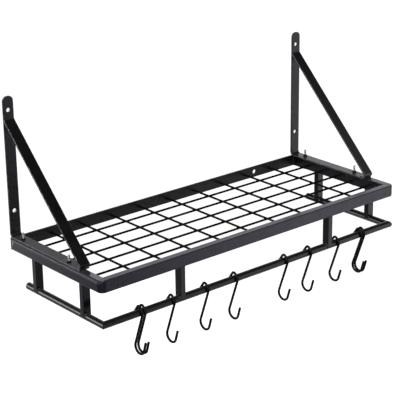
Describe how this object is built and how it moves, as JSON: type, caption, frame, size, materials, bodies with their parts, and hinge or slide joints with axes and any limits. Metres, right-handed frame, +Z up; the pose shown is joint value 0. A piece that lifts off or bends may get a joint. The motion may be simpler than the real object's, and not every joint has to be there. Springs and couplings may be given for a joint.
{
  "type": "wall mounted pot rack",
  "caption": "Black steel wall rack with a wire grid shelf on two strip brackets and a round tube below that carries swinging pan hooks.",
  "frame": {"origin": "in the wall plane, at the middle of the four wall screw holes of the two straps", "axes": "+X along the wall to the right, -Y out of the wall to the front, +Z up"},
  "size_m": [0.7, 0.2752, 0.4158],
  "materials": {
    "frame_coat": "satin black powder coat",
    "tube_coat": "satin black powder coat",
    "bracket_coat": "satin black powder coat",
    "wire_coat": "satin black powder coat",
    "hook_coat": "satin black powder coat",
    "fastener": "zinc plating, bright on the bolts and blackened on the nuts",
    "end_plug": "matte black plastic"
  },
  "bodies": {
    "rack": {"front_rail": "frame_coat", "left_rail": "frame_coat", "right_rail": "frame_coat", "back_rail": "frame_coat", "front_post_left": "frame_coat", "front_post_right": "frame_coat", "left_post_back": "frame_coat", "left_post_front": "frame_coat", "right_post_back": "frame_coat", "right_post_front": "frame_coat", "front_hook_tube": "tube_coat", "left_hook_tube": "tube_coat", "right_hook_tube": "tube_coat", "left_strap": "bracket_coat", "right_strap": "bracket_coat", "left_brace": "bracket_coat", "right_brace": "bracket_coat", "cross_wires": "wire_coat", "long_wires": "wire_coat", "tube_end_plugs": "end_plug", "bracket_bolts": "fastener", "bracket_nuts": "fastener"},
    "hook_1": {"hook_1": "hook_coat"},
    "hook_2": {"hook_2": "hook_coat"},
    "hook_3": {"hook_3": "hook_coat"},
    "hook_4": {"hook_4": "hook_coat"},
    "hook_5": {"hook_5": "hook_coat"},
    "hook_6": {"hook_6": "hook_coat"},
    "hook_7": {"hook_7": "hook_coat"},
    "hook_8": {"hook_8": "hook_coat"},
    "hook_9": {"hook_9": "hook_coat"},
    "hook_10": {"hook_10": "hook_coat"}
  },
  "joints": [
    {"name": "hook_1_swing", "type": "hinge", "parent": "rack", "child": "hook_1", "pos_m": [-0.2685, -0.2575, -0.2215], "axis": [1, 0, 0], "range_deg": [-60, 60]},
    {"name": "hook_2_swing", "type": "hinge", "parent": "rack", "child": "hook_2", "pos_m": [-0.262, -0.2575, -0.2215], "axis": [1, 0, 0], "range_deg": [-60, 60]},
    {"name": "hook_3_swing", "type": "hinge", "parent": "rack", "child": "hook_3", "pos_m": [-0.199, -0.2575, -0.2215], "axis": [1, 0, 0], "range_deg": [-60, 60]},
    {"name": "hook_4_swing", "type": "hinge", "parent": "rack", "child": "hook_4", "pos_m": [-0.1232, -0.2575, -0.2215], "axis": [1, 0, 0], "range_deg": [-60, 60]},
    {"name": "hook_5_swing", "type": "hinge", "parent": "rack", "child": "hook_5", "pos_m": [-0.0555, -0.2575, -0.2215], "axis": [1, 0, 0], "range_deg": [-60, 60]},
    {"name": "hook_6_swing", "type": "hinge", "parent": "rack", "child": "hook_6", "pos_m": [0.0665, -0.2575, -0.2215], "axis": [1, 0, 0], "range_deg": [-60, 60]},
    {"name": "hook_7_swing", "type": "hinge", "parent": "rack", "child": "hook_7", "pos_m": [0.1268, -0.2575, -0.2215], "axis": [1, 0, 0], "range_deg": [-60, 60]},
    {"name": "hook_8_swing", "type": "hinge", "parent": "rack", "child": "hook_8", "pos_m": [0.199, -0.2575, -0.2215], "axis": [1, 0, 0], "range_deg": [-60, 60]},
    {"name": "hook_9_swing", "type": "hinge", "parent": "rack", "child": "hook_9", "pos_m": [0.262, -0.2575, -0.2215], "axis": [1, 0, 0], "range_deg": [-60, 60]},
    {"name": "hook_10_swing", "type": "hinge", "parent": "rack", "child": "hook_10", "pos_m": [0.2685, -0.2575, -0.2215], "axis": [1, 0, 0], "range_deg": [-60, 60]}
  ]
}
